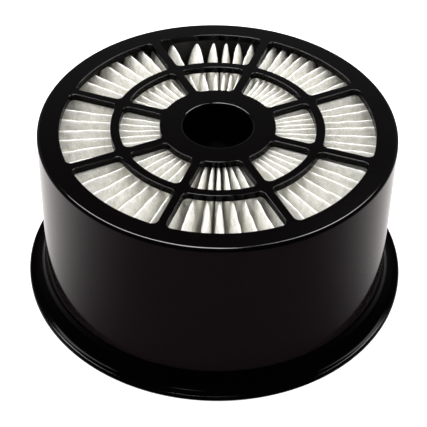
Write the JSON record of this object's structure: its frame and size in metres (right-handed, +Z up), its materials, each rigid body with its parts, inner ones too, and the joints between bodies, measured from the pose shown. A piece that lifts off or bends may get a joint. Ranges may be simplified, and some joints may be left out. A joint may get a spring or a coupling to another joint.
{
  "type": "vacuum exhaust filter",
  "caption": "Round vacuum exhaust filter: a glossy black moulded cup with a grille on top, a flared foot and a centre bore, around a ring of white pleated paper.",
  "frame": {"origin": "centre of the foot's lower plane, on the axis of the cup", "axes": "+Z up along the axis of the cup, from the foot to the grille; +X and +Y each through the middle of a window"},
  "size_m": [0.145, 0.145, 0.067],
  "materials": {
    "housing": "black moulded plastic, satin to glossy",
    "pleated_medium": "white pleated filter paper, matt and fibrous",
    "adhesive": "dark potting adhesive, dull"
  },
  "bodies": {
    "root": {"housing": "housing", "pleated_medium": "pleated_medium", "outer_bond": "adhesive", "inner_bond": "adhesive"}
  },
  "joints": []
}
